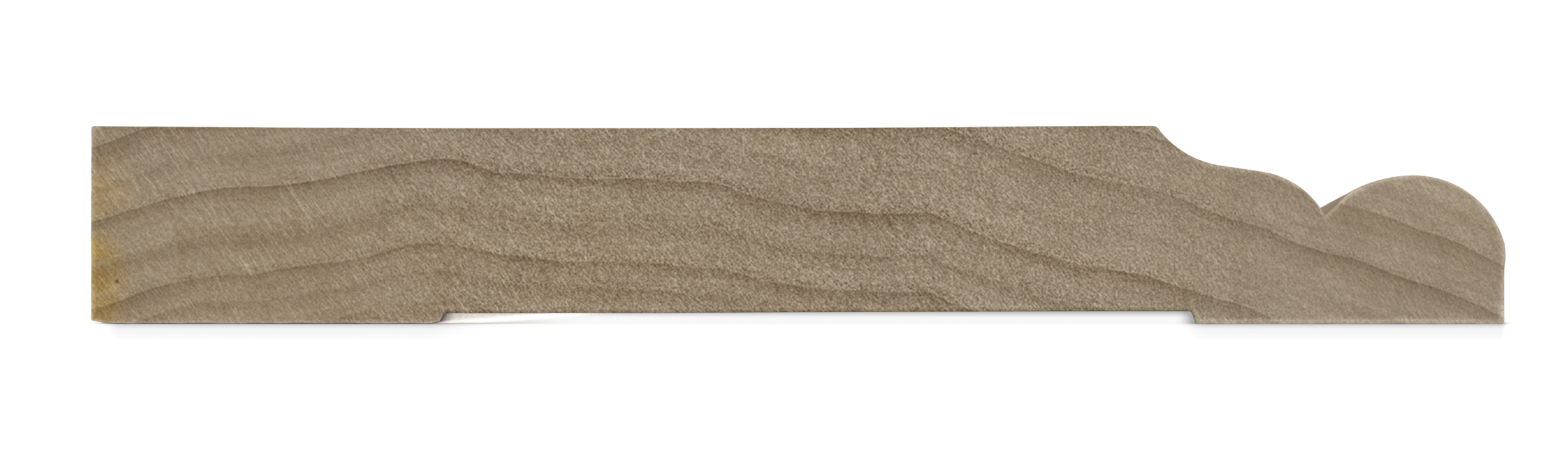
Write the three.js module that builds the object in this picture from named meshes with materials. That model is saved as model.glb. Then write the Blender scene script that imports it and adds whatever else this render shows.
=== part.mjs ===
// A one metre length of solid hardwood skirting board, lying on its back.
// It is one piece of timber: a plain flat face, an ogee and a bead worked along its
// top edge, a square floor edge, and a shallow relief planed into the back, which
// leaves two feet that bear on the wall.
//
// Frame: millimetres. Y runs along the board, X across it from the floor edge (-X)
// to the moulded top edge (+X), and Z out of the wall. Z = 0 is the plane of the two
// feet, and the origin is at the middle of the length and of the width.

import * as THREE from 'three';

// Overall sizes
const BOARD_LENGTH = 1000;
const BOARD_WIDTH = 135.6;
const BOARD_THICKNESS = 19;

// Relief in the back
const FLOOR_FOOT_WIDTH = 33.4;
const TOP_FOOT_WIDTH = 29.6;
const RELIEF_DEPTH = 1.2;
const RELIEF_WALL_RUN = 0.5;

// Ogee: a cove, a short straight fall and a round, from the flat face to the quirk
const COVE_RADIUS = 9.2;
const COVE_DROP = 3.8;
const OGEE_FALL_DEGREES = 8.5;
const OGEE_STRAIGHT = 4;
const ROUND_RADIUS = 8.3;

// Quirk: the V groove between the ogee and the bead, measured down from the flat face
const QUIRK_DEPTH = 8.8;
const QUIRK_FLANK_DEGREES = 47;

// Bead: a quarter round at the edge and a slower curve back to the quirk
const BEAD_CROWN_DROP = 4.75;
const BEAD_RADIUS = 9;
const BEAD_OVERRUN = 0.25;
const BEAD_BACK_RADIUS = 12.7;
const BEAD_BACK_DEGREES = 28.5;
const BEAD_SHOULDER_RADIUS = 0.8;

// The edge below the bead stands back a little from it
const BEAD_FOOT_HEIGHT = 5.4;
const EDGE_SETBACK = 0.12;

// Eased corners
const ARRIS_RADIUS = 0.3;
const RELIEF_CORNER_RADIUS = 0.25;
const COVE_ARRIS_RADIUS = 0.6;

const ARC_SEGMENTS = 8;

// Bare planed timber, a warm grey brown
const TIMBER_COLOUR = 0x968570;
const TIMBER_ROUGHNESS = 0.75;

const radians = THREE.MathUtils.degToRad;

// The point at a radius and an angle from a centre.
function onCircle(centre, radius, angle) {
  return new THREE.Vector2(
    centre.x + radius * Math.cos(angle),
    centre.y + radius * Math.sin(angle),
  );
}

// Carries the outline to a corner and turns it there on a small radius. A radius
// that needs more than half of the shorter side beside it is limited by that side.
function turnCorner(outline, before, corner, after, radius) {
  const arriving = corner.clone().sub(before);
  const leaving = after.clone().sub(corner);
  const shorterSide = Math.min(arriving.length(), leaving.length());
  arriving.normalize();
  leaving.normalize();
  const turn = Math.atan2(arriving.cross(leaving), arriving.dot(leaving));
  const halfTurnTangent = Math.tan(Math.abs(turn) / 2);
  const setback = Math.min(radius * halfTurnTangent, shorterSide / 2);
  const turnRadius = setback / halfTurnTangent;
  const side = Math.sign(turn);
  const start = corner.clone().addScaledVector(arriving, -setback);
  const inward = new THREE.Vector2(-arriving.y, arriving.x).multiplyScalar(side);
  const centre = start.clone().addScaledVector(inward, turnRadius);
  const startAngle = Math.atan2(start.y - centre.y, start.x - centre.x);
  outline.lineTo(start.x, start.y);
  outline.absarc(centre.x, centre.y, turnRadius, startAngle, startAngle + turn, side < 0);
}

// Carries the outline round a run of corners, from the point before the first to
// the point after the last.
function turnCorners(outline, points, radii) {
  radii.forEach((radius, i) => {
    turnCorner(outline, points[i], points[i + 1], points[i + 2], radius);
  });
}

// The corners of the back and of the two edges, anticlockwise from the floor edge.
function backCorners(floorEdge, topEdge) {
  const reliefStart = floorEdge + FLOOR_FOOT_WIDTH;
  const reliefEnd = topEdge - TOP_FOOT_WIDTH;
  return [
    new THREE.Vector2(floorEdge, 0),
    new THREE.Vector2(reliefStart, 0),
    new THREE.Vector2(reliefStart + RELIEF_WALL_RUN, RELIEF_DEPTH),
    new THREE.Vector2(reliefEnd - RELIEF_WALL_RUN, RELIEF_DEPTH),
    new THREE.Vector2(reliefEnd, 0),
    new THREE.Vector2(topEdge - EDGE_SETBACK, 0),
  ];
}

// The bead, from its foot on the top edge over the crown and down to the quirk.
// Returns the bottom of the quirk.
function addBead(outline, topEdge) {
  const upright = Math.PI / 2;
  const crown = new THREE.Vector2(
    topEdge + BEAD_OVERRUN - BEAD_RADIUS,
    BOARD_THICKNESS - BEAD_CROWN_DROP,
  );
  const beadCentre = new THREE.Vector2(crown.x, crown.y - BEAD_RADIUS);
  const edgeAngle = Math.acos((BEAD_RADIUS - BEAD_OVERRUN) / BEAD_RADIUS);
  outline.lineTo(topEdge - EDGE_SETBACK, BEAD_FOOT_HEIGHT);
  outline.lineTo(topEdge, BEAD_FOOT_HEIGHT + EDGE_SETBACK);
  outline.absarc(beadCentre.x, beadCentre.y, BEAD_RADIUS, edgeAngle, upright, false);

  const backCentre = new THREE.Vector2(crown.x, crown.y - BEAD_BACK_RADIUS);
  const backEnd = upright + radians(BEAD_BACK_DEGREES);
  outline.absarc(backCentre.x, backCentre.y, BEAD_BACK_RADIUS, upright, backEnd, false);

  const shoulderCentre = onCircle(backCentre, BEAD_BACK_RADIUS - BEAD_SHOULDER_RADIUS, backEnd);
  const flankStart = upright + radians(QUIRK_FLANK_DEGREES);
  outline.absarc(
    shoulderCentre.x, shoulderCentre.y, BEAD_SHOULDER_RADIUS, backEnd, flankStart, false,
  );

  const shoulderEnd = onCircle(shoulderCentre, BEAD_SHOULDER_RADIUS, flankStart);
  const quirkHeight = BOARD_THICKNESS - QUIRK_DEPTH;
  const flankRun = (shoulderEnd.y - quirkHeight) / Math.tan(radians(QUIRK_FLANK_DEGREES));
  const quirk = new THREE.Vector2(shoulderEnd.x - flankRun, quirkHeight);
  outline.lineTo(quirk.x, quirk.y);
  return quirk;
}

// The ogee, from the bottom of the quirk up the round, along the straight fall and
// up the cove to an eased corner on the flat face.
function addOgee(outline, quirk) {
  const upright = Math.PI / 2;
  const fall = radians(OGEE_FALL_DEGREES);
  const coveEnd = BOARD_THICKNESS - COVE_DROP;
  const roundEnd = coveEnd - OGEE_STRAIGHT * Math.sin(fall);

  const roundCentreHeight = roundEnd - ROUND_RADIUS * Math.cos(fall);
  const quirkAngle = Math.asin((quirk.y - roundCentreHeight) / ROUND_RADIUS);
  const roundCentre = new THREE.Vector2(
    quirk.x - ROUND_RADIUS * Math.cos(quirkAngle),
    roundCentreHeight,
  );
  outline.absarc(
    roundCentre.x, roundCentre.y, ROUND_RADIUS, quirkAngle, upright - fall, false,
  );

  const roundTop = onCircle(roundCentre, ROUND_RADIUS, upright - fall);
  const coveFoot = new THREE.Vector2(roundTop.x - OGEE_STRAIGHT * Math.cos(fall), coveEnd);
  const coveCentre = onCircle(coveFoot, COVE_RADIUS, upright - fall);

  const arrisHeight = BOARD_THICKNESS - COVE_ARRIS_RADIUS;
  const centreDistance = COVE_RADIUS + COVE_ARRIS_RADIUS;
  const rise = coveCentre.y - arrisHeight;
  const arrisCentre = new THREE.Vector2(
    coveCentre.x - Math.sqrt(centreDistance ** 2 - rise ** 2),
    arrisHeight,
  );
  const towardsCove = Math.atan2(rise, coveCentre.x - arrisCentre.x);
  outline.absarc(
    coveCentre.x, coveCentre.y, COVE_RADIUS, -upright - fall, towardsCove - Math.PI, true,
  );
  outline.absarc(
    arrisCentre.x, arrisCentre.y, COVE_ARRIS_RADIUS, towardsCove, upright, false,
  );
}

// The whole section of the board, anticlockwise from the floor edge.
function boardSection() {
  const floorEdge = -BOARD_WIDTH / 2;
  const topEdge = BOARD_WIDTH / 2;
  const face = new THREE.Vector2(floorEdge, BOARD_THICKNESS);
  const halfway = new THREE.Vector2(floorEdge, BOARD_THICKNESS / 2);
  const back = backCorners(floorEdge, topEdge);
  const beadFoot = new THREE.Vector2(topEdge - EDGE_SETBACK, BEAD_FOOT_HEIGHT);

  const outline = new THREE.Shape();
  outline.moveTo(halfway.x, halfway.y);
  turnCorners(outline, [halfway, ...back, beadFoot], [
    ARRIS_RADIUS,
    RELIEF_CORNER_RADIUS,
    RELIEF_CORNER_RADIUS,
    RELIEF_CORNER_RADIUS,
    RELIEF_CORNER_RADIUS,
    ARRIS_RADIUS,
  ]);
  const quirk = addBead(outline, topEdge);
  addOgee(outline, quirk);
  turnCorner(outline, new THREE.Vector2(quirk.x, BOARD_THICKNESS), face, halfway, ARRIS_RADIUS);
  outline.closePath();
  return outline;
}

const timber = new THREE.MeshStandardMaterial({
  color: TIMBER_COLOUR,
  roughness: TIMBER_ROUGHNESS,
  metalness: 0,
});

// The section is extruded along the board and stood so that its Y becomes the frame's Z.
const boardGeometry = new THREE.ExtrudeGeometry(boardSection(), {
  depth: BOARD_LENGTH,
  bevelEnabled: false,
  curveSegments: ARC_SEGMENTS,
});
boardGeometry.translate(0, 0, -BOARD_LENGTH / 2);

const board = new THREE.Mesh(boardGeometry, timber);
board.name = 'skirting_board';
board.rotation.x = Math.PI / 2;

const model = new THREE.Group();
model.add(board);

export default model;
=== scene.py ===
# Dresses a one metre length of hardwood skirting board that lies on its back.
# The photograph looks square on at one sawn end, so the end grain carries most of the looks:
# growth rings, the felt of cut fibres, hair scratches left by a circular saw, yellow sapwood
# along the floor edge and a frayed arris. The long faces are planed and show the same rings.
# Sections and places on the board are in millimetres, and everything is turned to metres
# where it becomes a mesh, a lamp or the camera.

import math

import bpy
import numpy as np
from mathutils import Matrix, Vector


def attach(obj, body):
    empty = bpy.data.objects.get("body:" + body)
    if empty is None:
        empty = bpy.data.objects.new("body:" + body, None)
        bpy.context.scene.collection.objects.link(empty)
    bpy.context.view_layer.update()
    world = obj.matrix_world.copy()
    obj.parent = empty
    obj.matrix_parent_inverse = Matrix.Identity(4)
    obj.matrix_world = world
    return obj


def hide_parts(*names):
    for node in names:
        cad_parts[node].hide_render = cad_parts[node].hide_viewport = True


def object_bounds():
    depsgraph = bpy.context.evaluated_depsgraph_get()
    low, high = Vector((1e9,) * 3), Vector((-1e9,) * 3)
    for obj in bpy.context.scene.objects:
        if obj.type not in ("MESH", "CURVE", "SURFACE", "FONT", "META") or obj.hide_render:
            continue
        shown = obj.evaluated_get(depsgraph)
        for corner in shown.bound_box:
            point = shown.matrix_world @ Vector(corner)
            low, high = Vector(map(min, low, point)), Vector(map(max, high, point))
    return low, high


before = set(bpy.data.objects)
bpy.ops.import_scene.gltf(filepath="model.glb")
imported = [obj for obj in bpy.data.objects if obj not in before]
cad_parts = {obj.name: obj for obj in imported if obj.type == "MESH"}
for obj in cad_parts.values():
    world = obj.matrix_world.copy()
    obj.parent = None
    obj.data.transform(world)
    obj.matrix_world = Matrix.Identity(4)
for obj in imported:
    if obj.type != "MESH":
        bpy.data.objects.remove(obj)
cad_low, cad_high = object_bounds()

MM = 0.001
NODE = "skirting_board"

# The board's overall sizes come from the frame
LENGTH, WIDTH, THICKNESS = ((cad_high[i] - cad_low[i]) / MM for i in (1, 0, 2))
FLOOR_EDGE = -WIDTH / 2
TOP_EDGE = WIDTH / 2
NEAR_END = -LENGTH / 2
FAR_END = LENGTH / 2

# The section, as the solid has it, but for the quirk's depth and flank
FLOOR_FOOT_WIDTH = 33.4
TOP_FOOT_WIDTH = 29.6
RELIEF_DEPTH = 1.2
COVE_RADIUS = 9.2
COVE_DROP = 3.8
OGEE_FALL = math.radians(8.5)
OGEE_STRAIGHT = 4.0
ROUND_RADIUS = 8.3
QUIRK_DEPTH = 8.6
QUIRK_FLANK = math.radians(43.5)
BEAD_CROWN_DROP = 4.75
BEAD_RADIUS = 9.0
BEAD_OVERRUN = 0.25
BEAD_BACK_RADIUS = 12.7
BEAD_BACK = math.radians(28.5)
BEAD_SHOULDER_RADIUS = 0.8
BEAD_FOOT_HEIGHT = 5.4
EDGE_SETBACK = 0.12
ARRIS_RADIUS = 0.3
COVE_ARRIS_RADIUS = 0.6

# What planing, sawing and handling did to it
FACE_HOLLOW = 0.2
FACE_HOLLOW_WIDTH = 97.0
RELIEF_WALL_RUN = 0.62
# The wide foot's corner is torn: it rounds up early, then a steep wall and a slow rise to
# the relief, each given as its start from the foot's width, its run and its share of the
# relief's depth
TORN_WALL = [(-1.0, 1.1, 0.15), (0.05, 0.55, 0.67), (0.4, 70.0, 0.16)]
FLOOR_ARRIS_WEAR = 0.28
FLOOR_ARRIS_WEAR_WIDTH = 0.9
SAWN_ARRIS_RADIUS = 0.11
SAWN_ARRIS_UNEVEN = 0.45
SAWN_ARRIS_PITCH = 1.1
FRAY_DEPTH = 0.05
FRAY_PITCH = 0.7
FRAY_REACH = 0.7
PLANE_WAVE = 0.035
PLANE_WAVE_ACROSS = 14.0
PLANE_WAVE_ALONG = 110.0
SAW_RELIEF = 0.03
SAW_RELIEF_REACH = 0.5


# Camera

CAMERA_DISTANCE = 1877.4
CAMERA_ACROSS = 41.5
CAMERA_HEIGHT = 6.6
AIM_ACROSS = -1.31
AIM_HEIGHT = 9.43
LENS = 450.0
SENSOR = 36.0


def make_camera():
    """A long lens far in front of the near end, square on to it and low over the floor.

    It stands a little to the floor edge's side of the quirk and below it, so that a sliver
    of the bead's flank shows there and the rest of the length hides behind the near end.
    """
    camera = bpy.data.objects.new("camera", bpy.data.cameras.new("camera"))
    bpy.context.scene.collection.objects.link(camera)
    bpy.context.scene.camera = camera
    camera.data.lens = LENS
    camera.data.sensor_width = SENSOR
    camera.data.clip_start = 0.05
    camera.data.clip_end = 100.0
    place = (CAMERA_ACROSS, NEAR_END - CAMERA_DISTANCE, CAMERA_HEIGHT)
    camera.location = [value * MM for value in place]
    yaw = math.atan2(CAMERA_ACROSS - AIM_ACROSS, CAMERA_DISTANCE)
    pitch = math.atan2(AIM_HEIGHT - CAMERA_HEIGHT, CAMERA_DISTANCE)
    camera.rotation_euler = (math.radians(90) + pitch, 0, yaw)


# Node helpers

NUMBER = "NodeSocketFloat"
PLACE = "NodeSocketVector"
COLOUR = "NodeSocketColor"


def is_socket(value):
    return isinstance(value, bpy.types.NodeSocket)


def feed(tree, socket, value):
    """Links a socket into an input, or sets the input's plain value."""
    if is_socket(value):
        tree.links.new(value, socket)
    else:
        socket.default_value = value


def add(tree, kind, inputs=(), **settings):
    """Adds a node, sets its settings, then feeds its inputs by name or number."""
    node = tree.nodes.new(kind)
    for name, value in settings.items():
        setattr(node, name, value)
    for key, value in dict(inputs).items():
        feed(tree, node.inputs[key], value)
    return node


def maths(operation, a, b=0.0):
    """One step of arithmetic on two numbers, of which at least one comes from a node."""
    tree = (a if is_socket(a) else b).id_data
    return add(tree, "ShaderNodeMath", {0: a, 1: b}, operation=operation).outputs[0]


def plus(*values):
    """The sum of several numbers."""
    total = values[0]
    for value in values[1:]:
        total = maths("ADD", total, value)
    return total


def times(a, b):
    return maths("MULTIPLY", a, b)


def mixed(shares, **values):
    """The sum of several numbers, each times its own share."""
    return plus(*(times(values[name], share) for name, share in shares.items()))


def length(a, b):
    """The length of a step of a one way and b across it."""
    return maths("SQRT", plus(times(a, a), times(b, b)))


def ease(value, low, high, at_low=0.0, at_high=1.0):
    """Goes from at_low to at_high, with eased ends, as the value goes from low to high."""
    node = add(
        value.id_data, "ShaderNodeMapRange",
        {"Value": value, "From Min": low, "From Max": high, "To Min": at_low, "To Max": at_high},
        interpolation_type="SMOOTHSTEP",
    )
    return node.outputs[0]


def noise(place, scale, detail=2.0, roughness=0.5):
    """Smooth noise about nought: its ordinary swing is about a tenth each way."""
    node = add(
        place.id_data, "ShaderNodeTexNoise",
        {"Vector": place, "Scale": scale, "Detail": detail, "Roughness": roughness},
    )
    return maths("SUBTRACT", node.outputs["Fac"], 0.5)


def stretch(place, x=1.0, y=1.0, z=1.0, shift=(0.0, 0.0, 0.0)):
    """Place scaled along each axis, which packs a pattern along it or draws it out."""
    inputs = {"Vector": place, "Location": shift, "Scale": (x, y, z)}
    return add(place.id_data, "ShaderNodeMapping", inputs).outputs[0]


def turned(place, degrees):
    """Place turned about the length, so that strokes can be drawn out along a slope."""
    inputs = {"Vector": place, "Rotation": (0.0, math.radians(degrees), 0.0)}
    return add(place.id_data, "ShaderNodeMapping", inputs).outputs[0]


def axes(place):
    """The three numbers of a place."""
    return add(place.id_data, "ShaderNodeSeparateXYZ", {0: place}).outputs


def make_group(name, inputs, *outputs, put_out=NUMBER):
    """A node group with named inputs, and outputs of one kind. Returns it and its inner ends."""
    group = bpy.data.node_groups.new(name, "ShaderNodeTree")
    for label, kind in inputs.items():
        group.interface.new_socket(label, in_out="INPUT", socket_type=kind)
    for label in outputs:
        group.interface.new_socket(label, in_out="OUTPUT", socket_type=put_out)
    source = group.nodes.new("NodeGroupInput")
    result = group.nodes.new("NodeGroupOutput")
    return group, source.outputs, result.inputs


def use(tree, group, inputs=()):
    """Places a node group in a tree and feeds its inputs."""
    node = tree.nodes.new("ShaderNodeGroup")
    node.node_tree = group
    for name, value in dict(inputs).items():
        feed(tree, node.inputs[name], value)
    return node.outputs


def linear(red, green, blue):
    """A colour written as a screen shows it, from 0 to 255, in the renderer's linear scale."""
    shares = np.clip(np.array([red, green, blue]) / 255, 0, 1)
    low = shares / 12.92
    high = ((shares + 0.055) / 1.055) ** 2.4
    return (*np.where(shares <= 0.04045, low, high), 1.0)


# The outline of the section

ARC_STEP = math.radians(1.5)


def arc(centre, radius, start, end):
    """Points on a circle from one angle to another, both ends among them."""
    count = max(3, math.ceil(abs(end - start) / ARC_STEP) + 1)
    angles = np.linspace(start, end, count)
    return np.stack(
        [centre[0] + radius * np.cos(angles), centre[1] + radius * np.sin(angles)], axis=1
    )


def on_circle(centre, radius, angle):
    return (centre[0] + radius * math.cos(angle), centre[1] + radius * math.sin(angle))


def arris(centre, start, end):
    """The arc of an eased corner, from one angle in degrees to another."""
    return arc(centre, ARRIS_RADIUS, math.radians(start), math.radians(end))


def bead_curve():
    """The bead from the quirk up its straight flank and over the crown to the top edge.

    The flank meets the slow back curve by a small shoulder, and the quarter round that
    follows the crown ends on the edge below it. Returns the part up to the middle of the
    quarter round, the part after it, and the quirk's bottom.
    """
    upright = math.pi / 2
    crown = (TOP_EDGE + BEAD_OVERRUN - BEAD_RADIUS, THICKNESS - BEAD_CROWN_DROP)
    bead = (crown[0], crown[1] - BEAD_RADIUS)
    back = (crown[0], crown[1] - BEAD_BACK_RADIUS)
    back_end = upright + BEAD_BACK
    flank = upright + QUIRK_FLANK
    shoulder = on_circle(back, BEAD_BACK_RADIUS - BEAD_SHOULDER_RADIUS, back_end)
    flank_top = on_circle(shoulder, BEAD_SHOULDER_RADIUS, flank)
    quirk_height = THICKNESS - QUIRK_DEPTH
    quirk = (flank_top[0] - (flank_top[1] - quirk_height) / math.tan(QUIRK_FLANK), quirk_height)
    edge = math.acos((BEAD_RADIUS - BEAD_OVERRUN) / BEAD_RADIUS)
    over = np.concatenate([
        [quirk],
        arc(shoulder, BEAD_SHOULDER_RADIUS, flank, back_end),
        arc(back, BEAD_BACK_RADIUS, back_end, upright)[1:],
        arc(bead, BEAD_RADIUS, upright, upright / 2)[1:],
    ])
    down = arc(bead, BEAD_RADIUS, upright / 2, edge)
    return over, down, quirk


def ogee_curve(quirk):
    """The ogee from its eased corner on the flat face down to the quirk.

    A cove, a short straight fall tangent to it, and a round tangent to the fall. The corner
    is a small circle that touches both the flat face and the cove.
    """
    upright = math.pi / 2
    cove_end = THICKNESS - COVE_DROP
    round_end = cove_end - OGEE_STRAIGHT * math.sin(OGEE_FALL)
    round_height = round_end - ROUND_RADIUS * math.cos(OGEE_FALL)
    quirk_angle = math.asin((quirk[1] - round_height) / ROUND_RADIUS)
    round_centre = (quirk[0] - ROUND_RADIUS * math.cos(quirk_angle), round_height)
    round_top = on_circle(round_centre, ROUND_RADIUS, upright - OGEE_FALL)
    cove_foot = (round_top[0] - OGEE_STRAIGHT * math.cos(OGEE_FALL), cove_end)
    cove = on_circle(cove_foot, COVE_RADIUS, upright - OGEE_FALL)
    corner_height = THICKNESS - COVE_ARRIS_RADIUS
    rise = cove[1] - corner_height
    reach = COVE_RADIUS + COVE_ARRIS_RADIUS
    corner = (cove[0] - math.sqrt(reach**2 - rise**2), corner_height)
    towards = math.atan2(rise, cove[0] - corner[0])
    return np.concatenate([
        arc(corner, COVE_ARRIS_RADIUS, upright, towards),
        arc(cove, COVE_RADIUS, towards - math.pi, -upright - OGEE_FALL)[1:],
        arc(round_centre, ROUND_RADIUS, upright - OGEE_FALL, quirk_angle),
    ])


def smooth(value, low, high):
    """Goes from 0 to 1 with level ends as the value goes from low to high."""
    t = np.clip((value - low) / (high - low), 0, 1)
    return t * t * (3 - 2 * t)


def bell(value, top, centre, width):
    """The top at the centre, and a share 1/e of it one width away on either side."""
    return top * np.exp(-(((value - centre) / width) ** 2))


def back_height(x):
    """Height of the back over the plane of the feet.

    The relief rises from the wide foot's torn corner by three smooth steps, and falls to the
    narrow foot by one. The floor arris is worn away by half a bell.
    """
    corner = FLOOR_EDGE + FLOOR_FOOT_WIDTH
    crisp = TOP_EDGE - TOP_FOOT_WIDTH - RELIEF_WALL_RUN
    rise = sum(
        share * smooth(x, corner + start, corner + start + run) for start, run, share in TORN_WALL
    )
    fall = smooth(x, crisp, crisp + RELIEF_WALL_RUN)
    worn = bell(x, FLOOR_ARRIS_WEAR, FLOOR_EDGE, FLOOR_ARRIS_WEAR_WIDTH)
    return RELIEF_DEPTH * (rise - fall) + worn


def front_height(x, outline):
    """Height of the front: the outline, with the flat face planed slightly hollow.

    The hollow is a parabola from the floor edge across most of the flat face.
    """
    share = np.clip((x - FLOOR_EDGE) / FACE_HOLLOW_WIDTH, 0, 1)
    return np.interp(x, outline[:, 0], outline[:, 1]) - FACE_HOLLOW * 4 * share * (1 - share)


# Where the mesh has its points

COLUMN_STEP = 0.62
COLUMN_PEAKS = [
    # distance from the floor edge, extra points for each millimetre, width
    (0.0, 9.0, 0.25),
    (FLOOR_FOOT_WIDTH + 0.2, 11.0, 0.6),
    (WIDTH - TOP_FOOT_WIDTH - 0.3, 7.0, 0.7),
    (102.8, 6.0, 0.8),
    (121.8, 5.0, 0.7),
    (133.2, 6.0, 0.4),
]
# Up the edges: how many steps, the finest as a share of the widest, and how fast they grow
SIDE_STEPS = 24
FINEST_SHARE = 0.08
SIDE_GROWTH = 1.6
# Along the board: the finest gap between rows, how fast the gaps grow, and the widest
FINEST_ROW = 0.16
ROW_GROWTH = 1.7
ROW_STEP = 9.0


def packed_columns(start, end):
    """Places from start to end, packed closer near each peak.

    The number of points for each millimetre is a constant and a bell round each peak. Its
    running sum, cut into equal parts, gives the places.
    """
    fine = np.linspace(start, end, 20001)
    density = np.full_like(fine, 1 / COLUMN_STEP)
    for distance, extra, width in COLUMN_PEAKS:
        density += bell(fine - FLOOR_EDGE, extra, distance, width)
    running = np.concatenate([[0], np.cumsum((density[1:] + density[:-1]) / 2 * np.diff(fine))])
    count = round(running[-1])
    return np.interp(np.linspace(0, running[-1], count + 1), running, fine)


def graded(steps):
    """Shares from 0 to 1 whose steps are fine at both ends and grow towards the middle."""
    index = np.arange(steps)
    sizes = FINEST_SHARE * SIDE_GROWTH ** np.minimum(index, steps - 1 - index)
    sizes = np.minimum(sizes, 1.0)
    return np.concatenate([[0], np.cumsum(sizes)]) / sizes.sum()


def along(curve, shares):
    """Points at shares of a curve's own length."""
    lengths = np.concatenate([[0], np.cumsum(np.hypot(*np.diff(curve, axis=0).T))])
    places = shares * lengths[-1]
    return np.stack([np.interp(places, lengths, curve[:, i]) for i in (0, 1)], axis=1)


def section():
    """The four sides of the section as points: back, top edge, front and floor edge.

    Back and front run from the floor edge to the top edge and share their columns, which
    drift apart only past the quirk, where the bead leans over the edge. The two edges run
    from the back to the front.
    """
    over, down, quirk = bead_curve()
    ogee = ogee_curve(quirk)
    lift = ARRIS_RADIUS
    face_corner = (FLOOR_EDGE + lift, THICKNESS - lift)
    outline = np.concatenate([arris(face_corner, 135, 90), ogee, over])
    start, end = outline[0, 0], outline[-1, 0]
    columns = packed_columns(start, end)
    columns[np.argmin(abs(columns - quirk[0]))] = quirk[0]
    front = np.stack([columns, front_height(columns, outline)], axis=1)

    edge = TOP_EDGE - EDGE_SETBACK
    top_arris = arris((edge - lift, lift), -45, 0)
    share = np.clip((columns - quirk[0]) / (end - quirk[0]), 0, 1) ** 2
    back_columns = columns + (top_arris[0, 0] - end) * share
    height = back_height(back_columns)
    height += np.maximum(back_columns - (edge - lift), 0) ** 2 / (2 * lift)
    back = np.stack([back_columns, height], axis=1)

    shares = graded(SIDE_STEPS)
    floor_arris = arris((FLOOR_EDGE + lift, lift), 225, 180)
    floor_arris[:, 1] += back[0, 1] - floor_arris[0, 1]
    floor_side = np.concatenate([floor_arris, arris(face_corner, 180, 135)])
    foot = [(edge, BEAD_FOOT_HEIGHT), (TOP_EDGE, BEAD_FOOT_HEIGHT + EDGE_SETBACK)]
    top_side = np.concatenate([top_arris, foot, down[::-1]])
    top_side[0] = back[-1]
    top_side = along(top_side, shares)
    floor_side = along(floor_side, shares)
    floor_side[0] = back[0]
    floor_side[-1] = front[0]
    top_side[-1] = front[-1]
    return back, top_side, front, floor_side


# Seeded noise for the mesh

def lattice_noise(u, v, seed):
    """Smooth noise between -1 and 1, from seeded numbers on the whole places of u and v.

    Between four neighbours it goes by the same eased steps both ways.
    """
    u = u - np.floor(u.min())
    v = v - np.floor(v.min())
    random = np.random.default_rng(seed)
    values = random.uniform(-1, 1, (int(u.max()) + 2, int(v.max()) + 2))
    i, j = u.astype(int), v.astype(int)
    s, t = smooth(u - i, 0, 1), smooth(v - j, 0, 1)
    low = values[i, j] * (1 - s) + values[i + 1, j] * s
    high = values[i, j + 1] * (1 - s) + values[i + 1, j + 1] * s
    return low * (1 - t) + high * t


# Growth rings

# One ring drawn on the near end: how far across the board and how high it passes
RING_WAVE = [
    (-67.8, 9.5), (-63.9, 10.75), (-60.8, 11.75), (-56.6, 12.5), (-50.3, 13.05),
    (-45.0, 13.7), (-41.1, 14.45), (-36.7, 15.35), (-34.0, 15.55), (-32.4, 15.35),
    (-30.3, 14.8), (-28.3, 14.35), (-22.2, 13.75), (-14.3, 13.7), (-10.4, 13.35),
    (-7.4, 13.05), (-5.3, 12.35), (-1.3, 11.3), (3.9, 10.45), (12.4, 10.2),
    (14.4, 9.4), (19.7, 7.6), (26.2, 5.8), (32.1, 4.65), (37.8, 2.8),
    (43.5, 0.9), (49.2, -1.35), (55.8, -3.25), (60.65, -5.05), (67.8, -8.3),
]
# The tree's taper lifts the rings in a hump that ends at this share of the length
RING_LIFT = 4.4
RING_LIFT_END = 0.8
# Along the length they also drift a little, lean across and back, and wander
RING_DRIFT = 0.9
RING_LEAN = 7.0
RING_LEAN_TURN = 1.3
RING_WANDER = 0.5
RING_WANDER_TURN = 9.0
RING_WANDER_WIDTH = 23.0
# Towards the floor edge the younger rings lie closer together and the older ones wider
CROWDING_SPAN = (38.0, 60.0)
YOUNG_CROWDING = 0.17
OLD_SPREADING = 0.03
# Past the middle the younger ones lie further apart and the older ones closer
YOUNG_BULGE = 0.08
OLD_BULGE = 0.085
BULGE_PLACE = 12.0
BULGE_WIDTH = 13.0


def hermite(x, places, heights):
    """A smooth curve through given points that makes no bumps between them.

    Each span is a cubic. The slope at a point is the harmonic mean of the two spans' slopes
    beside it, and nought where they turn.
    """
    steps = np.diff(places)
    rises = np.diff(heights) / steps
    product = rises[1:] * rises[:-1]
    total = np.where(product > 0, rises[1:] + rises[:-1], 1)
    inner = np.where(product > 0, 2 * product / total, 0)
    slopes = np.concatenate([[rises[0]], inner, [rises[-1]]])
    i = np.clip(np.searchsorted(places, x) - 1, 0, len(steps) - 1)
    t = (x - places[i]) / steps[i]
    rise = heights[i + 1] - heights[i]
    cubic = heights[i] + rise * t * t * (3 - 2 * t)
    return cubic + steps[i] * t * (1 - t) * (slopes[i] * (1 - t) - slopes[i + 1] * t)


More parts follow.
